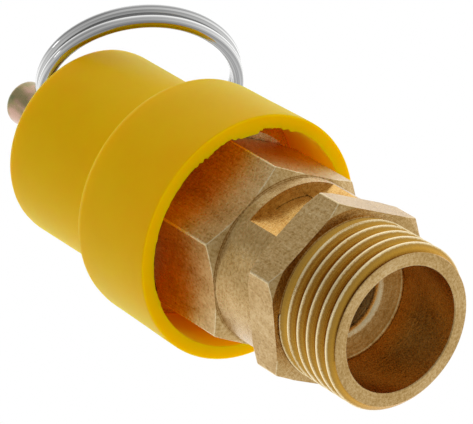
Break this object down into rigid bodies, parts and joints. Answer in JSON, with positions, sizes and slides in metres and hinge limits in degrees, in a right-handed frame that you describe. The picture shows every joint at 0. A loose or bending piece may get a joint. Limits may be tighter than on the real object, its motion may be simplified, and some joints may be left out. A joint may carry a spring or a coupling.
{
  "type": "pressure relief valve",
  "caption": "Spring-loaded brass relief valve with a male pipe thread, hexagons, exhaust slots, a stepped plastic cap and a pull ring on its stem.",
  "frame": {"origin": "centre of the inlet face, at the end of the male thread", "axes": "+Z along the valve axis from the inlet to the pull ring; +X through a corner of the body's hexagons and the middle of one exhaust slot"},
  "size_m": [0.0334, 0.037, 0.0788],
  "materials": {
    "brass": "turned",
    "yellow_plastic": "moulded, satin",
    "plated_steel": "yellow zinc plated",
    "nickel": "nickel plated, polished",
    "steel": "plain",
    "rubber": "matte"
  },
  "bodies": {
    "valve": {"valve_body": "brass", "bonnet": "brass", "lock_ring": "brass", "spring": "steel", "upper_spring_seat": "steel"},
    "disc": {"disc_holder": "brass", "seal_disc": "rubber", "seal_washer": "steel", "seal_screw": "steel", "retaining_ring": "steel", "lower_spring_seat": "steel"},
    "stem": {"stem": "plated_steel"},
    "ring": {"split_ring": "nickel"},
    "adjuster": {"adjusting_screw": "brass"},
    "cap": {"cap": "yellow_plastic"}
  },
  "joints": [
    {"name": "disc_lift", "type": "slide", "parent": "valve", "child": "disc", "axis": [0, 0, 1], "range_m": [0, 0.003], "stiffness_N_per_m": 4000, "springref_m": -0.004, "deforming": ["spring"]},
    {"name": "stem_swivel", "type": "hinge", "parent": "disc", "child": "stem", "pos_m": [0, 0, 0.022], "axis": [0, 0, 1], "continuous": true},
    {"name": "ring_swing", "type": "hinge", "parent": "stem", "child": "ring", "pos_m": [0, 0, 0.072], "axis": [0.8829, -0.4695, 0], "range_deg": [-4, 250]},
    {"name": "adjuster_turn", "type": "hinge", "parent": "valve", "child": "adjuster", "pos_m": [0, 0, 0.0535], "axis": [0, 0, 1], "range_deg": [-90, 0]},
    {"name": "cap_turn", "type": "hinge", "parent": "valve", "child": "cap", "pos_m": [0, 0, 0.05], "axis": [0, 0, 1], "continuous": true}
  ]
}
